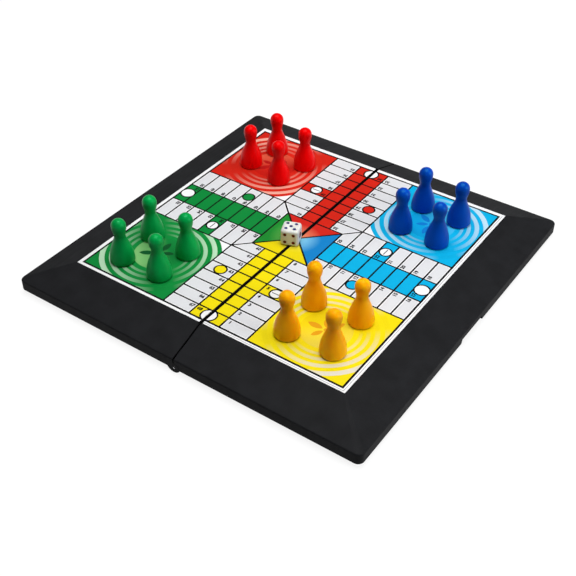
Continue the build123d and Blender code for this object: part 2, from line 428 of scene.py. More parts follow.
@dataclass(frozen=True)
class Ink(PrintFinish):
    """Ink of one colour, with the faint mottle of a printed sheet."""

    colour: Colour
    mottle: float = 0.03

    def tone(self, recipe: Recipe) -> Socket:
        """The ink's colour, a little darker and lighter from dot to dot.

        Args:
            recipe: The material that asks for it.

        Returns:
            The colour.
        """
        pattern = recipe.sum_of(self.dots(recipe), self.drift(recipe), 0.5)
        share = recipe.between(pattern, 0, 1, 0.5, 1.0)
        return recipe.tones(share, self.colour, 1 - self.mottle, 1 + self.mottle)


@dataclass(frozen=True)
class FadingInk(PrintFinish):
    """Ink that fades from a pale tone near the middle of the board to its full colour."""

    pale: Colour
    full: Colour
    fade_start: float
    fade_stop: float
    dot_tone: float = 0.95

    def tone(self, recipe: Recipe) -> Socket:
        """The pale tone up to the fade's start, and the full colour from its stop on.

        Args:
            recipe: The material that asks for it.

        Returns:
            The colour.
        """
        start, stop = self.fade_start * MM, self.fade_stop * MM
        share = recipe.between(recipe.from_middle(), 0, 1, start, stop)
        return self.dotted_run(recipe, share, self.pale, self.full, self.dot_tone)


@dataclass(frozen=True)
class SweepingInk(PrintFinish):
    """Ink that grows pale along a line through a middle, to both ends or to the outer one."""

    pale: Colour
    full: Colour
    middle: Vector
    along: Vector
    reach: float
    sweep: Sweep = Sweep.BOTH_ENDS
    dot_tone: float = 0.96

    def tone(self, recipe: Recipe) -> Socket:
        """The full colour, which turns pale along the sweep.

        Args:
            recipe: The material that asks for it.

        Returns:
            The colour.
        """
        offset = recipe.vector_math("SUBTRACT", recipe.place, self.middle).outputs["Vector"]
        run = recipe.vector_math("DOT_PRODUCT", offset, self.along.normalized()).outputs["Value"]
        reach = self.reach * MM
        if self.sweep is Sweep.BOTH_ENDS:
            share = recipe.between(recipe.math("ABSOLUTE", run), 0, 1, 0.15 * reach, reach)
        else:
            share = recipe.between(run, 0, 1, -0.4 * reach, 0.9 * reach)
        return self.dotted_run(recipe, share, self.full, self.pale, self.dot_tone)


@dataclass(frozen=True)
class PawnPlastic(Finish):
    """Coloured moulded plastic with a soft, slightly coloured sheen and a little depth."""

    colour: Colour
    glint: Colour = (255.0, 255.0, 255.0)
    roughness: float = 0.36
    gloss: float = 0.32
    depth: float = 0.08
    reach: float = 1.5
    bleed: Colour = (1.0, 0.6, 0.4)

    def mix(self, recipe: Recipe) -> None:
        """Puts the flow of the plastic and its fine pores together.

        Args:
            recipe: The new recipe.
        """
        flow = recipe.noise(grain_mm=5.0, stretch=(1, 1, 2.5))
        pores = recipe.noise(grain_mm=0.25, detail=2.0)
        recipe.coat(
            Base_Color=recipe.tones(recipe.between(flow, 0, 1), self.colour, 0.94, 1.05),
            Roughness=recipe.between(pores, self.roughness - 0.03, self.roughness + 0.06),
            Subsurface_Weight=self.depth,
            Subsurface_Radius=self.bleed,
            Subsurface_Scale=self.reach * MM,
            Specular_IOR_Level=self.gloss,
            Specular_Tint=linear(self.glint),
        )
        recipe.relief(recipe.sum_of(pores, flow, 1.5), depth_mm=0.01, strength=0.5)


@dataclass(frozen=True)
class PlatedMetal(Finish):
    """Bright metal with fine drawn streaks."""

    colour: Colour
    roughness: float
    streak: Triple

    def mix(self, recipe: Recipe) -> None:
        """Puts streaks and faint stains together.

        Args:
            recipe: The new recipe.
        """
        streaks = recipe.noise(grain_mm=0.12, stretch=self.streak)
        stains = recipe.noise(grain_mm=3.0)
        recipe.coat(
            Base_Color=recipe.tones(recipe.between(stains, 0, 1), self.colour, 0.9, 1.0),
            Metallic=1.0,
            Roughness=recipe.between(streaks, self.roughness - 0.06, self.roughness + 0.1),
        )
        recipe.relief(streaks, depth_mm=0.006, strength=0.5)


class Palette(Enum):
    """Every finish on the object."""

    CASE = CasePlastic()
    PAPER = Ink("print_white", (228.0, 228.0, 229.0), 0.01)
    CELL = Ink("print_cell", (206.0, 207.0, 210.0), 0.02)
    LINE = Ink("print_black", (4.0, 3.0, 5.0), 0.05)
    MARGIN = Ink("print_margin", (143.0, 143.0, 148.0), 0.02)
    BAR = Ink("print_bar", (84.0, 84.0, 88.0), 0.02)
    GREEN = Ink("print_green", (4.0, 125.0, 52.0))
    RED = Ink("print_red", (195.0, 31.0, 16.0))
    BLUE = Ink("print_blue", (0.0, 162.0, 209.0))
    YELLOW = Ink("print_yellow", (224.0, 205.0, 2.0))
    HUB_GREEN = FadingInk("hub_green", (109.0, 177.0, 81.0), (25.0, 134.0, 45.0), 1.0, 15.0)
    HUB_RED = FadingInk("hub_red", (222.0, 136.0, 100.0), (197.0, 33.0, 24.0), 1.0, 12.0)
    HUB_BLUE = FadingInk("hub_blue", (128.0, 196.0, 221.0), (13.0, 121.0, 188.0), 1.0, 12.0)
    HUB_YELLOW = FadingInk("hub_yellow", (226.0, 217.0, 81.0), (221.0, 201.0, 4.0), 1.0, 12.0)
    STEEL = PlatedMetal("pin_steel", (205.0, 206.0, 208.0), 0.28, (1, 60, 1))
    PLATE = PlatedMetal("plate_steel", (180.0, 182.0, 185.0), 0.36, (1, 90, 1))
    NICKEL = PlatedMetal("magnet_nickel", (214.0, 210.0, 200.0), 0.2, (1, 1, 1))
    PAWN_GREEN = PawnPlastic("pawn_green", (0.0, 148.0, 66.0), (110.0, 255.0, 190.0))
    PAWN_RED = PawnPlastic("pawn_red", (232.0, 0.0, 2.0), (255.0, 90.0, 90.0))
    PAWN_BLUE = PawnPlastic("pawn_blue", (0.0, 63.0, 172.0), (80.0, 225.0, 255.0))
    PAWN_YELLOW = PawnPlastic(
        "pawn_yellow", (255.0, 172.0, 2.0), (255.0, 225.0, 90.0), depth=0.7, reach=4.0,
        bleed=(1.0, 0.4, 0.1),
    )
    DIE = PawnPlastic("die_plastic", (214.0, 213.0, 208.0), roughness=0.3, depth=0.2)
    PIP_RED = PawnPlastic("pip_red", (96.0, 4.0, 8.0), roughness=0.3, depth=0.0)
    PIP_BLUE = PawnPlastic("pip_blue", (12.0, 10.0, 96.0), roughness=0.3, depth=0.0)

    @property
    def material(self) -> bpy.types.Material:
        """The finish as a material."""
        return self.value.material


@dataclass(frozen=True)
class HomeInks:
    """The four tones of a home square on its ground colour, and whether its corner is bare."""

    ripple: Colour
    heart: Colour
    shadow: Colour
    petal: Colour
    bare_corner: bool = True


HOME_INKS = {
    Team.GREEN: HomeInks(
        (180.0, 214.0, 182.0), (119.0, 177.0, 107.0), (7.0, 121.0, 51.0), (5.0, 76.0, 34.0)
    ),
    Team.RED: HomeInks(
        (228.0, 168.0, 150.0), (212.0, 92.0, 66.0), (186.0, 24.0, 14.0), (161.0, 13.0, 13.0)
    ),
    Team.BLUE: HomeInks(
        (185.0, 212.0, 226.0), (67.0, 177.0, 221.0), (0.0, 150.0, 203.0), (5.0, 110.0, 185.0)
    ),
    Team.YELLOW: HomeInks(
        (214.0, 208.0, 194.0), (219.0, 201.0, 71.0), (223.0, 199.0, 4.0), (206.0, 145.0, 14.0),
        bare_corner=False,
    ),
}


# ---------------------------------------------------------------- work on meshes
def pick(*pieces: bpy.types.Object) -> None:
    """Selects these objects only, in object mode, with the first one active.

    Args:
        *pieces: The objects; none of them leaves everything deselected.
    """
    if bpy.context.object and bpy.context.object.mode != "OBJECT":
        bpy.ops.object.mode_set(mode="OBJECT")
    bpy.ops.object.select_all(action="DESELECT")
    for piece in pieces:
        piece.select_set(True)
    if pieces:
        bpy.context.view_layer.objects.active = pieces[0]


def pick_faces(piece: bpy.types.Object, test: FaceTest) -> int:
    """Opens a piece for editing with the faces that pass a test selected.

    Args:
        piece: The mesh object.
        test: Says of a face whether it is wanted.

    Returns:
        How many faces passed.
    """
    pick(piece)
    mesh = piece.data
    wanted = [bool(test(face)) for face in mesh.polygons]
    mesh.vertices.foreach_set("select", [False] * len(mesh.vertices))
    mesh.edges.foreach_set("select", [False] * len(mesh.edges))
    mesh.polygons.foreach_set("select", wanted)
    bpy.context.tool_settings.mesh_select_mode = (False, False, True)
    bpy.ops.object.mode_set(mode="EDIT")
    return sum(wanted)


def every(face: bpy.types.MeshPolygon) -> bool:
    """The test that every face passes."""
    return True


def cut(piece: bpy.types.Object, point: Vector, normal: Vector, test: FaceTest = every) -> None:
    """Cuts the faces that pass a test along a plane.

    Args:
        piece: The mesh object.
        point: A point of the plane, in metres.
        normal: The way the plane faces.
        test: Says of a face whether it is cut.
    """
    if pick_faces(piece, test):
        bpy.ops.mesh.bisect(plane_co=point, plane_no=normal, threshold=HAIR)
    pick(piece)


def drop_faces(piece: bpy.types.Object, test: FaceTest) -> None:
    """Deletes the faces that pass a test.

    Args:
        piece: The mesh object.
        test: Says of a face whether it goes.
    """
    if pick_faces(piece, test):
        bpy.ops.mesh.delete(type="FACE")
    pick(piece)


def inset_each(piece: bpy.types.Object, width: float, test: FaceTest, rim: int) -> None:
    """Insets every face that passes a test by itself and gives the rims a material.

    Args:
        piece: The mesh object.
        width: Width of the rim, in metres.
        test: Says of a face whether it is inset.
        rim: The rims' place in the piece's list of materials.
    """
    pick_faces(piece, test)
    before = {tuple(round(c / HAIR) for c in f.center) for f in piece.data.polygons if not test(f)}
    bpy.ops.mesh.inset(thickness=width, use_individual=True, use_even_offset=True)
    pick(piece)
    for face in piece.data.polygons:
        untouched = tuple(round(c / HAIR) for c in face.center) in before
        if not face.select and not untouched:
            face.material_index = rim


def flat_circle(radius: float, centre: Vector, corners: int = 64) -> bpy.types.Object:
    """A flat filled circle.

    Args:
        radius: Its radius, in metres.
        centre: Its middle, in metres.
        corners: How many corners it has.

    Returns:
        The mesh object, with its place in its mesh.
    """
    pick()
    bpy.ops.mesh.primitive_circle_add(
        vertices=corners, radius=radius, fill_type="NGON", location=centre
    )
    piece = bpy.context.object
    bpy.ops.object.transform_apply(location=True, rotation=True, scale=True)
    return piece


def flat_strip(across: float, along: float, middle: Vector) -> bpy.types.Object:
    """A flat rectangle, square to the board.

    Args:
        across: Its size in x, in metres.
        along: Its size in y, in metres.
        middle: Its middle, in metres.

    Returns:
        The mesh object, with its place in its mesh.
    """
    pick()
    bpy.ops.mesh.primitive_plane_add(size=1, location=(0, 0, 0))
    piece = bpy.context.object
    pick_faces(piece, every)
    bpy.ops.transform.resize(value=(across, along, 1))
    bpy.ops.transform.translate(value=middle)
    pick(piece)
    return piece


def copy_at(piece: bpy.types.Object, place: Matrix) -> bpy.types.Object:
    """A copy with its own mesh.

    Args:
        piece: The mesh object that is copied.
        place: The matrix that moves the copy's mesh.

    Returns:
        The copy.
    """
    copy = piece.copy()
    copy.data = piece.data.copy()
    copy.data.transform(place)
    bpy.context.scene.collection.objects.link(copy)
    return copy


def join(pieces: list[bpy.types.Object]) -> bpy.types.Object:
    """Joins pieces into the first of them.

    Args:
        pieces: The mesh objects, at least one.

    Returns:
        The joined object.
    """
    pick(*pieces)
    if len(pieces) > 1:
        bpy.ops.object.join()
    return bpy.context.object


def remove(piece: bpy.types.Object) -> None:
    """Takes a piece that only served as a pattern out of the scene."""
    bpy.data.objects.remove(piece, do_unlink=True)


def parts_by_finish(piece: bpy.types.Object) -> list[bpy.types.Object]:
    """Separates a flat mesh by the materials on it.

    Args:
        piece: The mesh object.

    Returns:
        One object for each material that has faces.
    """
    pick_faces(piece, every)
    bpy.ops.mesh.separate(type="MATERIAL")
    bpy.ops.object.mode_set(mode="OBJECT")
    return list(bpy.context.selected_objects)


def parts_by_side(piece: bpy.types.Object) -> dict[Side, bpy.types.Object]:
    """Separates a flat mesh that has been cut at the seam into its left and right part.

    Args:
        piece: The mesh object.

    Returns:
        The object on each side that has faces.
    """
    count = len(piece.data.polygons)
    right = pick_faces(piece, lambda face: face.center.x > 0)
    if right in (0, count):
        pick(piece)
        return {Side.RIGHT if right else Side.LEFT: piece}
    bpy.ops.mesh.separate(type="SELECTED")
    bpy.ops.object.mode_set(mode="OBJECT")
    other = next(o for o in bpy.context.selected_objects if o is not piece)
    return {Side.LEFT: piece, Side.RIGHT: other}


def finish_piece(
    piece: bpy.types.Object, name: str, body: str, finish: bpy.types.Material
) -> None:
    """Names and dresses a finished piece, and fixes it to its body.

    Args:
        piece: The mesh object, with its place in its mesh.
        name: Its name from now on.
        body: The CAD body that it moves with.
        finish: Its material.
    """
    piece.name = piece.data.name = name
    piece.data.materials.clear()
    piece.data.materials.append(finish)
    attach(piece, body)
    log.info("%s: %d faces on %s", name, len(piece.data.polygons), body)


@dataclass(frozen=True)
class InkCoat:
    """How ink lies on the sheets: the thickness of a coat, and how each half is in register."""

    coat: float = 0.016
    seam_edge: float = 0.94
    left_register: tuple[float, float] = (-0.15, -0.5)
    right_register: tuple[float, float] = (0.0, -0.15)

    @property
    def sheet_top(self) -> float:
        """The top of the printed sheets, in metres."""
        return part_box("print_sheet_left")[1].z

    def place(self, side: Side, level: Level) -> Vector:
        """How far a flat mesh moves to lie on the sheet of one half.

        Args:
            side: The half of the board.
            level: Which coat it is.

        Returns:
            The move, in metres.
        """
        across, along = self.left_register if side is Side.LEFT else self.right_register
        return Vector((across * MM, along * MM, self.sheet_top + level.value * self.coat * MM))

    def split_at_seam(self, piece: bpy.types.Object) -> None:
        """Takes out the strip that the seam needs.

        Args:
            piece: The flat mesh, before it is moved to the sheets.
        """
        left = -self.seam_edge * MM - self.place(Side.LEFT, Level.GROUND).x
        right = self.seam_edge * MM - self.place(Side.RIGHT, Level.GROUND).x
        for x in (left, right):
            cut(piece, Vector((x, 0, 0)), Vector((1, 0, 0)))
        drop_faces(piece, lambda face: left < face.center.x < right)

    def lay(
        self, piece: bpy.types.Object, name: str, level: Level, slot: str, finish: bpy.types.Material
    ) -> None:
        """Turns a flat mesh into coats of ink, one piece for each half of the board.

        Args:
            piece: The flat mesh at z = 0, faces up.
            name: Name of the pieces, to which the side is added.
            level: Which coat it is.
            slot: The record's material slot; not used.
            finish: The ink.
        """
        self.split_at_seam(piece)
        for side, part in parts_by_side(piece).items():
            part.data.transform(Matrix.Translation(self.place(side, level)))
            pick(part)
            bpy.ops.object.modifier_add(type="SOLIDIFY")
            coat = part.modifiers[-1]
            coat.thickness = self.coat * MM
            coat.offset = 1.0
            coat.use_even_offset = True
            bpy.ops.object.modifier_apply(modifier=coat.name)
            finish_piece(part, f"{name}_{side.word}", side.body, finish)


# ---------------------------------------------------------------- the printed board
@dataclass(frozen=True)
class Arm:
    """One arm of the cross: distances along it (u) and half widths across it (v)."""

    outer: float
    neck: float
    hub: float
    half_width: float
    half_lane: float
    rows: int = 7

    @property
    def pitch(self) -> float:
        """Height of one row."""
        return (self.outer - self.neck) / self.rows

    def row_middle(self, row: int) -> float:
        """The middle of a row along the arm.

        Args:
            row: The row's number; row 1 is the outermost.

        Returns:
            The distance u.
        """
        if row > self.rows:
            return (self.neck + self.hub) / 2
        return self.outer - (row - 0.5) * self.pitch

    def column_middle(self) -> float:
        """The middle of a side column across the arm."""
        return (self.half_width + self.half_lane) / 2


@dataclass(frozen=True)
class BoardPlan:
    """The layout of the print, from the middle of the board."""

    line_x: float = 75.97
    line_y: float = 76.45
    arm_x: float = 24.37
    arm_y: float = 23.65
    lane_x: float = 8.74
    lane_y: float = 7.9
    hub_x: float = 16.74
    hub_y: float = 16.15
    line_width: float = 0.9
    edge_spread: float = 0.6
    cell_margin: float = 0.38
    marked_row: int = 5

    def arm(self, team: Team) -> Arm:
        """The measures of a team's arm.

        Args:
            team: The team.

        Returns:
            The arm, which is slightly different along x and along y.
        """
        if team.outward.x:
            return Arm(self.line_x, self.arm_x, self.hub_x, self.arm_y, self.lane_y)
        return Arm(self.line_y, self.arm_y, self.hub_y, self.arm_x, self.lane_x)

    def place(self, team: Team, u: float, v: float) -> Vector:
        """A place on the board in metres, from its place on a team's arm."""
        return (team.outward * u + team.sideways * v) * MM

    def arm_place(self, team: Team, spot: Vector) -> tuple[float, float]:
        """The place on a team's arm, in millimetres, of a spot given in metres."""
        return spot.dot(team.outward) / MM, spot.dot(team.sideways) / MM

    def home_middle(self, team: Team) -> Vector:
        """The middle of a team's home square.

        Args:
            team: The team.

        Returns:
            The place, in metres.
        """
        corner = team.outward + team.sideways
        across = corner.x * (self.line_x + self.arm_x) / 2
        along = corner.y * (self.line_y + self.arm_y) / 2
        return Vector((across, along, 0)) * MM


@dataclass(frozen=True)
class PrintedFace:
    """The field of cells, lanes, homes and the hub, cut from one sheet of ink."""

    plan: BoardPlan = field(default_factory=BoardPlan)
    coat: InkCoat = field(default_factory=InkCoat)
    inks: tuple[Palette, ...] = (
        Palette.LINE, Palette.CELL, Palette.GREEN, Palette.RED, Palette.BLUE, Palette.YELLOW,
        Palette.HUB_GREEN, Palette.HUB_RED, Palette.HUB_BLUE, Palette.HUB_YELLOW, Palette.PAPER,
    )
    margin_gap_x: float = 1.45
    margin_gap_y: float = 1.6
    margin_width: float = 0.24
    near_margin: float = 78.5
    far_margin: float = 79.2
    turned_width: float = 2.6

    def number(self, ink: Palette) -> int:
        """The ink's place in the list of materials."""
        return self.inks.index(ink)

    def field_sheet(self) -> bpy.types.Object:
        """The whole field with its outer line.

        Returns:
            A flat sheet, cut into homes, arms and middle.
        """
        plan = self.plan
        across = 2 * (plan.line_x + plan.edge_spread) * MM
        along = 2 * (plan.line_y + plan.edge_spread) * MM
        piece = flat_strip(across, along, Vector((0, 0, 0)))
        for sign in (-1, 1):
            for x in (plan.line_x, plan.arm_x):
                cut(piece, Vector((sign * x * MM, 0, 0)), Vector((1, 0, 0)))
            for y in (plan.line_y, plan.arm_y):
                cut(piece, Vector((0, sign * y * MM, 0)), Vector((0, 1, 0)))
        return piece

    def cut_hub(self, piece: bpy.types.Object) -> None:
        """Sets the hub into the middle square, which leaves the innermost row of each arm.

        Args:
            piece: The field sheet.
        """
        plan = self.plan
        depth = plan.arm_y - plan.hub_y
        pick_faces(piece, lambda face: face.center.length < HAIR)
        bpy.ops.mesh.inset(thickness=depth * MM, use_even_offset=True)
        bpy.ops.transform.resize(
            value=(plan.hub_x / (plan.arm_x - depth), plan.hub_y / (plan.arm_y - depth), 1),
            center_override=(0, 0, 0),
        )
        bpy.ops.mesh.poke()
        pick(piece)

    def cut_arm(self, piece: bpy.types.Object, team: Team) -> None:
        """Cuts one arm into its lane, its two side columns and its rows.

        Args:
            piece: The field sheet.
            team: Whose arm it is.
        """
        arm = self.plan.arm(team)

        def on_arm(face: bpy.types.MeshPolygon) -> bool:
            """True for the faces of this arm, its innermost row included."""
            u, v = self.plan.arm_place(team, face.center)
            return arm.hub + HAIR < u < arm.outer and abs(v) < min(u, arm.half_width)

        def on_rows(face: bpy.types.MeshPolygon) -> bool:
            """True for the faces of this arm outside the innermost row."""
            return on_arm(face) and self.plan.arm_place(team, face.center)[0] > arm.neck

        for v in (-arm.half_lane, arm.half_lane):
            cut(piece, self.plan.place(team, 0, v), team.sideways, on_arm)
        for row in range(1, arm.rows):
            edge = self.plan.place(team, arm.outer - row * arm.pitch, 0)
            cut(piece, edge, team.outward, on_rows)

    def margin_line(self) -> bpy.types.Object:
        """The fine line in the white margin of the right half, beside its outer and near edge.

        Returns:
            The line as two joined strips.
        """
        width = self.margin_width
        outer = self.plan.line_x + self.margin_gap_x
        far = self.plan.line_y + self.margin_gap_y
        beside = Vector((outer, 0, 0))
        below = Vector((outer / 2, -far, 0))
        return join([
            flat_strip(width * MM, (2 * far + width) * MM, beside * MM),
            flat_strip((outer - width) * MM, width * MM, below * MM),
        ])

    def seam_margins(self) -> bpy.types.Object:
        """The white margin where the sheets are turned over the edges of the seam.

        Returns:
            A strip at the near end and one at the far end, joined.
        """
        start = self.plan.line_y + self.plan.edge_spread
        strips = []
        for near, far in ((-self.near_margin, -start), (start, self.far_margin)):
            middle = Vector((0, (near + far) / 2, 0))
            strips.append(flat_strip(self.turned_width * MM, (far - near) * MM, middle * MM))
        return join(strips)

    def ink_for(self, face: bpy.types.MeshPolygon) -> Palette:
        """The ink of a face of the cut field, by its place.

        Args:
            face: The face.

        Returns:
            The ink.
        """
        plan = self.plan
        spot = face.center
        x = abs(spot.x) / MM
        y = abs(spot.y) / MM
        if x > plan.line_x or y > plan.line_y:
            return Palette.LINE
        if x > plan.arm_x and y > plan.arm_y:
            owner = next(t for t in Team if (t.outward + t.sideways).dot(spot) > x * MM)
            return Palette[owner.name]
        owner = max(Team, key=lambda team: spot.dot(team.outward))
        u, v = plan.arm_place(owner, spot)
        arm = plan.arm(owner)
        if u < arm.hub:
            return Palette[f"HUB_{owner.name}"]
        marked = v > 0 and abs(u - arm.row_middle(plan.marked_row)) < arm.pitch / 2
        return Palette[owner.name] if abs(v) < arm.half_lane or marked else Palette.CELL

    def lay_ink(self, part: bpy.types.Object) -> None:
        """Lays the part of the field that has one ink on the sheets.

        Args:
            part: The part, with its ink as its only material.
        """
        ink = next(i for i in self.inks if i.material == part.data.materials[0])
        team = ink.name.split("_")[-1].lower()
        words = {Palette.CELL: "cells", Palette.LINE: "lines"}
        slots = {Palette.CELL: "print_white", Palette.LINE: "print_black"}
        name = f"ink_{words.get(ink, ink.name.lower())}"
        self.coat.lay(part, name, Level.GROUND, slots.get(ink, f"print_{team}"), ink.material)

    def build(self) -> None:
        """Cuts the field, separates it by ink and lays every ink on the sheets."""
        piece = self.field_sheet()
        self.cut_hub(piece)
        for team in Team:
            self.cut_arm(piece, team)
        for ink in self.inks:
            piece.data.materials.append(ink.material)
        for face in piece.data.polygons:
            face.material_index = self.number(self.ink_for(face))
        line = self.number(Palette.LINE)
        cell = self.number(Palette.CELL)
        blank = self.number(Palette.PAPER)
        inset_each(piece, self.plan.line_width / 2 * MM, lambda f: f.material_index != line, line)
        inset_each(piece, self.plan.cell_margin * MM, lambda f: f.material_index == cell, blank)
        drop_faces(piece, lambda f: f.material_index == blank)
        for part in parts_by_finish(piece):
            self.lay_ink(part)
        self.coat.lay(
            self.margin_line(), "ink_margin", Level.GROUND, "print_black", Palette.MARGIN.material
        )
        self.coat.lay(
            self.seam_margins(), "turned_margin", Level.GROUND, "print_white", Palette.PAPER.material
        )


@dataclass(frozen=True)
class MarkedCells:
    """The circles: plain ones on each start and each resting cell, a coloured one opposite."""

    plan: BoardPlan = field(default_factory=BoardPlan)
    coat: InkCoat = field(default_factory=InkCoat)
    radius: float = 3.62
    start_radius: float = 4.3
    rim: float = 0.8
    bar_length: float = 4.6
    bar_width: float = 0.5

    def circle(self, place: Vector, radius: float, ink: Palette) -> bpy.types.Object:
        """One flat circle with a dark rim.

        Args:
            place: Its middle, in metres.
            radius: Its radius, in millimetres.
            ink: The ink inside the rim.

        Returns:
            The circle, with the rim's material first.
        """
        piece = flat_circle(radius * MM, place)
        piece.data.materials.append(Palette.LINE.material)
        piece.data.materials.append(ink.material)
        for face in piece.data.polygons:
            face.material_index = 1
        inset_each(piece, self.rim * MM, every, 0)
        return piece

    def bar(self, place: Vector, team: Team) -> bpy.types.Object:
        """A short plain bar across a circle.

        Args:
            place: The circle's middle, in metres.
            team: Whose arm it is on.

        Returns:
            The bar.
        """
        piece = flat_strip(self.bar_length * MM, self.bar_width * MM, Vector((0, 0, 0)))
        piece.data.transform(Matrix.Translation(place) @ Matrix.Rotation(team.angle, 4, "Z"))
        return piece

    def build(self) -> None:
        """Lays the circles of all four arms on the cells."""
        circles = []
        bars = []
        for team in Team:
            arm = self.plan.arm(team)
            column = arm.column_middle()
            row = arm.row_middle(self.plan.marked_row)
            resting = self.plan.place(team, row, column)
            opposite = self.plan.place(team, row, -column)
            start = self.plan.place(team, arm.row_middle(1), 0)
            circles.append(self.circle(resting, self.radius, Palette.PAPER))
            circles.append(self.circle(opposite, self.radius, Palette[team.name]))
            circles.append(self.circle(start, self.start_radius, Palette.PAPER))
            bars.append(self.bar(resting, team))
        for part in parts_by_finish(join(circles)):
            ink = next(p for p in Palette if p.material == part.data.materials[0])
            word = {Palette.LINE: "rims", Palette.PAPER: "plain"}.get(ink, ink.name.lower())
            self.coat.lay(part, f"circle_{word}", Level.FIGURE, ink.value.name, ink.material)
        self.coat.lay(join(bars), "circle_bars", Level.ACCENT, "print_black", Palette.BAR.material)


@dataclass(frozen=True)
class CellNumbers:
    """The numbers 1 to 68 that run round the board, each facing its own edge."""

    plan: BoardPlan = field(default_factory=BoardPlan)
    coat: InkCoat = field(default_factory=InkCoat)
    size: float = 2.7
    boldness: float = 0.05
    from_lane: float = 2.35
    above_middle: float = 1.5
    count: int = 68
    per_arm: int = 17

    def figure(self, number: int, team: Team, u: float, v: float) -> bpy.types.Object:
        """One number, flat on the board, upright for a player who sits at the arm's end.

        Args:
            number: The number.
            team: Whose arm it stands on.
            u: Its place along the arm, in millimetres.
            v: Its place across the arm, in millimetres.

        Returns:
            The number as a flat mesh.
        """
        pick()
        bpy.ops.object.text_add()
        text = bpy.context.object
        text.data.body = str(number)
        text.data.size = self.size * MM
        text.data.offset = self.boldness * self.size * MM
        text.data.align_x = "CENTER"
        text.data.align_y = "CENTER"
        text.data.resolution_u = 3
        bpy.ops.object.convert(target="MESH")
        piece = bpy.context.object
        turn = Matrix.Rotation(team.angle, 4, "Z")
        piece.data.transform(Matrix.Translation(self.plan.place(team, u, v)) @ turn)
        return piece

    def build(self) -> None:
        """Writes all the numbers and lays them on the cells."""
        pieces = []
        for team in Team:
            arm = self.plan.arm(team)
            beside = arm.half_lane + self.from_lane
            last = self.per_arm * team.value or self.count
            start_v = -(arm.half_lane - self.from_lane)
            pieces.append(self.figure(last, team, arm.row_middle(1) - self.above_middle, start_v))
            for row in range(1, arm.rows + 2):
                u = arm.row_middle(row) - self.above_middle
                pieces.append(self.figure(self.per_arm * team.value + row, team, u, beside))
                pieces.append(self.figure(last - row, team, u, -beside))
        self.coat.lay(join(pieces), "numbers", Level.FIGURE, "print_black", Palette.LINE.material)


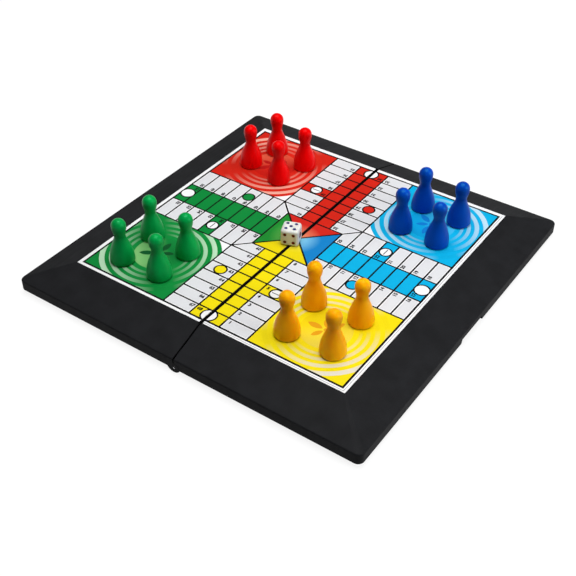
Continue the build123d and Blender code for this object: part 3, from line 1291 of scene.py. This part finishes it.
@dataclass(frozen=True)
class HomeRipples:
    """The motif of each home square: ripples round a pale heart with a rosette on it."""

    plan: BoardPlan = field(default_factory=BoardPlan)
    coat: InkCoat = field(default_factory=InkCoat)
    first_radius: float = 29.6
    ripple_widths: tuple[float, ...] = (2.6, 2.2, 1.8, 1.5)
    ripple_gaps: tuple[float, ...] = (2.3, 2.1, 1.8, 1.6)
    drift: float = 0.03
    heart_radius: float = 12.6
    petal_length: float = 8.0
    petal_width: float = 3.3
    petal_start: float = 1.9
    petal_count: int = 6
    short_petal: float = 0.8
    eye: float = 0.62
    field_radius: float = 31.9
    corners: int = 96

    def ripples(self) -> bpy.types.Object:
        """Rings that grow thinner inwards, each thicker on the side of the board's corner.

        Returns:
            The rings round the origin, joined.
        """
        rings = []
        radius = self.first_radius
        for width, gap in zip(self.ripple_widths, self.ripple_gaps):
            ring = flat_circle(radius * MM, Vector((0, 0, 0)), self.corners)
            pick_faces(ring, every)
            bpy.ops.mesh.inset(thickness=width * MM)
            shift = width * self.drift * MM
            bpy.ops.transform.translate(value=(-shift, shift, 0))
            bpy.ops.mesh.delete(type="FACE")
            pick(ring)
            rings.append(ring)
            radius -= width + gap
        return join(rings)

    def petal(self) -> bpy.types.Object:
        """A pointed petal along x: a slice of a circle and its mirror image.

        Returns:
            The petal, with its root at the petals' start.
        """
        length = self.petal_length * MM
        width = self.petal_width * MM
        radius = (length**2 / 4 + width**2 / 4) / width
        piece = flat_circle(radius, Vector((0, radius - width / 2, 0)), self.corners)
        pick_faces(piece, every)
        bpy.ops.mesh.bisect(
            plane_co=(0, 0, 0), plane_no=(0, 1, 0), clear_outer=True, threshold=HAIR
        )
        bpy.ops.mesh.select_all(action="SELECT")
        pick(piece)
        bpy.ops.object.modifier_add(type="MIRROR")
        mirror = piece.modifiers[-1]
        mirror.use_axis = (False, True, False)
        mirror.merge_threshold = 10 * HAIR
        bpy.ops.object.modifier_apply(modifier=mirror.name)
        piece.data.transform(Matrix.Translation((self.petal_start * MM + length / 2, 0, 0)))
        return piece

    def rosette(self) -> bpy.types.Object:
        """Petals all round, every second one shorter, about a small round eye.

        Returns:
            The rosette round the origin, joined.
        """
        pattern = self.petal()
        petals = [flat_circle(self.petal_start * self.eye * MM, Vector((0, 0, 0)), 32)]
        for number in range(self.petal_count):
            size = 1.0 if number % 2 else self.short_petal
            turn = Matrix.Rotation(number * 2 * math.pi / self.petal_count, 4, "Z")
            petals.append(copy_at(pattern, turn @ Matrix.Diagonal((size, size, 1, 1))))
        remove(pattern)
        return join(petals)

    def blank_corner(self) -> bpy.types.Object:
        """The bare paper outside the ripples, in the corner towards the middle of the board.

        Returns:
            A quarter of a wide ring round the origin.
        """
        piece = flat_circle(2 * self.field_radius * MM, Vector((0, 0, 0)), 2 * self.corners)
        pick_faces(piece, every)
        bpy.ops.mesh.inset(thickness=self.field_radius * MM)
        bpy.ops.mesh.delete(type="FACE")
        pick(piece)
        for normal in (Vector((1, 0, 0)), Vector((0, -1, 0))):
            cut(piece, Vector((0, 0, 0)), normal)
            drop_faces(piece, lambda face: face.center.dot(normal) > 0)
        return piece

    def trim(self, piece: bpy.types.Object, team: Team) -> None:
        """Cuts off what lies outside a team's home square.

        Args:
            piece: A flat motif, in its place.
            team: Whose home it is.
        """
        plan = self.plan
        middle = plan.home_middle(team)
        reach_x = (plan.line_x - plan.arm_x - plan.line_width) / 2 * MM
        reach_y = (plan.line_y - plan.arm_y - plan.line_width) / 2 * MM
        for x, y in ((1, 0), (-1, 0), (0, 1), (0, -1)):
            normal = Vector((x, y, 0))
            edge = middle + normal * (reach_x if x else reach_y)
            cut(piece, edge, normal)
            drop_faces(piece, lambda face: (face.center - edge).dot(normal) > HAIR)

    def ink(self, motif: Motif, team: Team) -> bpy.types.Material:
        """The ink of one motif in a team's home.

        Args:
            motif: The motif.
            team: Whose home it is.

        Returns:
            Its material.
        """
        name = f"{motif.value}_{team.word}"
        inks = HOME_INKS[team]
        middle = self.plan.home_middle(team)
        corner = team.outward + team.sideways
        if motif is Motif.RIPPLES:
            ground = Palette[team.name].value.colour
            return SweepingInk(name, inks.ripple, ground, middle, corner, self.first_radius).material
        if motif is Motif.HEART:
            return SweepingInk(
                name, inks.heart, inks.shadow, middle, corner, self.heart_radius, Sweep.OUTER_END
            ).material
        return Ink(name, inks.petal).material if motif is Motif.ROSETTE else Palette.PAPER.material

    def build(self) -> None:
        """Lays the motifs on all four homes, each in its own inks."""
        patterns = {
            Motif.RIPPLES: self.ripples(),
            Motif.HEART: flat_circle(self.heart_radius * MM, Vector((0, 0, 0)), self.corners),
            Motif.ROSETTE: self.rosette(),
            Motif.BLANK_CORNER: self.blank_corner(),
        }
        for team in Team:
            turn = Matrix.Rotation(team.angle, 4, "Z")
            place = Matrix.Translation(self.plan.home_middle(team)) @ turn
            for motif, pattern in patterns.items():
                if motif is Motif.BLANK_CORNER and not HOME_INKS[team].bare_corner:
                    continue
                level = Level.ACCENT if motif is Motif.ROSETTE else Level.FIGURE
                piece = copy_at(pattern, place)
                self.trim(piece, team)
                self.coat.lay(
                    piece, f"{motif.value}_{team.word}", level, f"print_{team.word}",
                    self.ink(motif, team),
                )
        for pattern in patterns.values():
            remove(pattern)


# ---------------------------------------------------------------- die
@dataclass(frozen=True)
class DiePips:
    """Paint in the sunk pips of the die."""

    edge: float = 9.4
    turn_deg: float = 21.0
    spread: float = 2.2
    radius: float = 0.9
    depth: float = 0.35
    ace_radius: float = 1.7
    ace_depth: float = 0.5
    lift: float = 0.012
    thickness: float = 0.03
    reach: float = 0.97
    steps: int = 32
    rings: int = 6
    red_counts: tuple[int, ...] = (1, 4)

    @property
    def patterns(self) -> dict[int, list[tuple[int, int]]]:
        """Where the pips of each count lie, in steps from the middle of a face."""
        corners = [(-1, -1), (-1, 1), (1, -1), (1, 1)]
        slant = [(-1, 1), (1, -1)]
        return {
            1: [(0, 0)],
            2: slant,
            3: [*slant, (0, 0)],
            4: corners,
            5: [*corners, (0, 0)],
            6: [*corners, (-1, 0), (1, 0)],
        }

    @property
    def faces(self) -> dict[int, tuple[Vector, Vector]]:
        """The outward normal and the first direction of the face with each count."""
        x = Vector((1, 0, 0))
        y = Vector((0, 1, 0))
        z = Vector((0, 0, 1))
        return {5: (z, x), 2: (-z, x), 4: (-y, x), 3: (y, x), 1: (x, y), 6: (-x, y)}

    def paint(self, radius: float, depth: float) -> bpy.types.Object:
        """A thin bowl of paint that follows a sunk pip, its face at z = 0.

        Args:
            radius: Radius of the pip at the face.
            depth: Depth of the pip.

        Returns:
            A closed turned piece.
        """
        ball = (radius**2 + depth**2) / (2 * depth)

        def floor(reach: float) -> float:
            """Height of the pip's surface at a distance from its middle."""
            return ball - depth - math.sqrt(ball**2 - reach**2)

        reaches = [radius * self.reach * n / self.rings for n in range(self.rings + 1)]
        below = [(r, floor(r) + self.lift) for r in reaches]
        above = [(r, floor(r) + self.lift + self.thickness) for r in reversed(reaches)]
        pick()
        bpy.ops.mesh.primitive_plane_add(size=MM, location=(0, 0, 0))
        piece = bpy.context.object
        bpy.ops.object.mode_set(mode="EDIT")
        bpy.context.tool_settings.mesh_select_mode = (True, False, False)
        bpy.ops.mesh.select_all(action="SELECT")
        bpy.ops.mesh.merge(type="CENTER")
        here = (0.0, 0.0)
        for number, (reach, height) in enumerate([*below, *above]):
            step = ((reach - here[0]) * MM, 0, (height - here[1]) * MM)
            if number:
                bpy.ops.mesh.extrude_region_move(TRANSFORM_OT_translate={"value": step})
            else:
                bpy.ops.transform.translate(value=step)
            here = (reach, height)
        bpy.ops.mesh.select_all(action="SELECT")
        bpy.ops.mesh.spin(
            steps=self.steps, angle=2 * math.pi, center=(0, 0, 0), axis=(0, 0, 1), use_auto_merge=True
        )
        bpy.ops.mesh.select_all(action="SELECT")
        bpy.ops.mesh.remove_doubles(threshold=HAIR)
        bpy.ops.mesh.normals_make_consistent(inside=False)
        pick(piece)
        bpy.ops.object.shade_smooth_by_angle(angle=math.radians(40))
        return piece

    def build(self) -> None:
        """Fills every pip and fixes the paint to the die."""
        low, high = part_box("die")
        turn = Matrix.Rotation(math.radians(self.turn_deg), 4, "Z")
        die = Matrix.Translation((low + high) / 2) @ turn
        pip = self.paint(self.radius, self.depth)
        ace = self.paint(self.ace_radius, self.ace_depth)
        painted = {"red": [], "blue": []}
        for count, (normal, across) in self.faces.items():
            up = normal.cross(across)
            face = Matrix((across, up, normal)).transposed().to_4x4()
            word = "red" if count in self.red_counts else "blue"
            for u, v in self.patterns[count]:
                spot = normal * self.edge / 2 + (across * u + up * v) * self.spread
                place = die @ Matrix.Translation(spot * MM) @ face
                painted[word].append(copy_at(ace if count == 1 else pip, place))
        remove(pip)
        remove(ace)
        for word, pieces in painted.items():
            finish = Palette[f"PIP_{word.upper()}"].material
            finish_piece(join(pieces), f"pip_paint_{word}", "die", finish)


# ---------------------------------------------------------------- CAD nodes
@dataclass(frozen=True)
class CarriedNodes:
    """The finish of every node that comes from the CAD model as it is."""

    finishes: tuple[tuple[str, Palette], ...] = (
        ("case_half", Palette.CASE), ("print_sheet", Palette.PAPER), ("steel_plate", Palette.PLATE),
        ("hinge_pin", Palette.STEEL), ("magnet", Palette.NICKEL), ("die", Palette.DIE),
        ("pawn_green", Palette.PAWN_GREEN), ("pawn_red", Palette.PAWN_RED),
        ("pawn_blue", Palette.PAWN_BLUE), ("pawn_yellow", Palette.PAWN_YELLOW),
    )

    def dress(self) -> None:
        """Gives each node its material."""
        for name, node in sorted(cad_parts.items()):
            finish = next(f for start, f in self.finishes if name.startswith(start))
            if not node.material_slots:
                node.data.materials.append(finish.material)
            for slot in node.material_slots:
                slot.material = finish.material
            log.info("%s: dressed as %s", name, finish.material.name)


# ---------------------------------------------------------------- studio
@dataclass(frozen=True)
class Lamp:
    """A soft square lamp that faces the board, with its place and edge in millimetres."""

    name: str
    place: Triple
    size: float
    watts: float

    def hang(self) -> None:
        """Adds the lamp to the scene."""
        pick()
        bpy.ops.object.light_add(type="AREA", location=Vector(self.place) * MM)
        lamp = bpy.context.object
        lamp.name = self.name
        lamp.data.size = self.size * MM
        lamp.data.energy = self.watts
        lamp.rotation_euler = (-Vector(self.place)).to_track_quat("-Z", "Y").to_euler()


@dataclass(frozen=True)
class Studio:
    """Pale floor and backdrop, soft light all round and the camera of the photograph."""

    azimuth_deg: float = 35.007
    elevation_deg: float = 39.763
    distance: float = 464.9
    aim: Triple = (18.68, -35.61, 14.9)
    lens: float = 60.42
    sensor: float = 36.0
    floor_half: float = 3000.0
    floor_drop: float = 0.1
    backdrop_height: float = 1600.0
    paper_colour: Colour = (102.0, 102.0, 102.0)
    sky: float = 0.1
    glow: float = 0.88
    lamps: tuple[Lamp, ...] = (
        Lamp("top_lamp", (0.0, 60.0, 1000.0), 620.0, 11.3),
        Lamp("right_lamp", (900.0, 250.0, 400.0), 500.0, 5.0),
    )

    def camera(self) -> None:
        """Sets the camera up where the photograph was taken from."""
        azimuth = math.radians(self.azimuth_deg)
        elevation = math.radians(self.elevation_deg)
        flat = Vector((math.sin(azimuth), -math.cos(azimuth), 0))
        back = flat * math.cos(elevation) + Vector((0, 0, math.sin(elevation)))
        pick()
        bpy.ops.object.camera_add(location=(Vector(self.aim) + back * self.distance) * MM)
        camera = bpy.context.object
        camera.name = "photo_camera"
        camera.rotation_euler = (-back).to_track_quat("-Z", "Y").to_euler()
        camera.data.lens = self.lens
        camera.data.sensor_width = self.sensor
        camera.data.clip_start = 0.01
        camera.data.clip_end = 50.0
        bpy.context.scene.camera = camera

    @cached_property
    def paper(self) -> bpy.types.Material:
        """The pale glowing paper of the floor and the backdrop."""
        recipe = Recipe("studio_paper")
        clouds = recipe.between(recipe.noise(grain_mm=60.0, detail=2.0), 0, 1)
        recipe.coat(
            Base_Color=recipe.tones(clouds, self.paper_colour, 0.98, 1.02),
            Roughness=0.9,
            Specular_IOR_Level=0.1,
            Emission_Color=(1, 1, 1, 1),
            Emission_Strength=self.glow,
        )
        return recipe.material

    def floor(self) -> None:
        """The pale floor under the board."""
        pick()
        bpy.ops.mesh.primitive_plane_add(
            size=2 * self.floor_half * MM, location=(0, 0, -self.floor_drop * MM)
        )
        floor = bpy.context.object
        floor.name = "studio_floor"
        floor.data.materials.append(self.paper)
        floor.visible_diffuse = False

    def backdrop(self) -> None:
        """A pale wall all round, far off, that only fills the picture above the floor."""
        pick()
        bpy.ops.mesh.primitive_cylinder_add(
            vertices=64, radius=0.98 * self.floor_half * MM, depth=self.backdrop_height * MM,
            end_fill_type="NOTHING", location=(0, 0, self.backdrop_height / 2 * MM),
        )
        wall = bpy.context.object
        wall.name = "studio_backdrop"
        wall.data.materials.append(self.paper)
        wall.visible_diffuse = False
        wall.visible_glossy = False
        wall.visible_shadow = False

    def world(self) -> None:
        """Even white light from all sides."""
        world = bpy.data.worlds.new("studio_sky")
        world.use_nodes = True
        sky = world.node_tree.nodes["Background"]
        sky.inputs["Color"].default_value = (1, 1, 1, 1)
        sky.inputs["Strength"].default_value = self.sky
        bpy.context.scene.world = world
        bpy.context.scene.view_settings.view_transform = "Standard"

    def build(self) -> None:
        """Sets up camera, floor, backdrop, sky and lamps."""
        self.camera()
        self.floor()
        self.backdrop()
        self.world()
        for lamp in self.lamps:
            lamp.hang()


def main() -> None:
    """Builds the studio, then dresses the board from the sheet upwards."""
    logging.basicConfig(level=logging.INFO, format="%(name)s: %(message)s")
    Studio().build()
    CarriedNodes().dress()
    PrintedFace().build()
    MarkedCells().build()
    CellNumbers().build()
    HomeRipples().build()
    DiePips().build()
    pick()


if __name__ == "__main__":
    main()
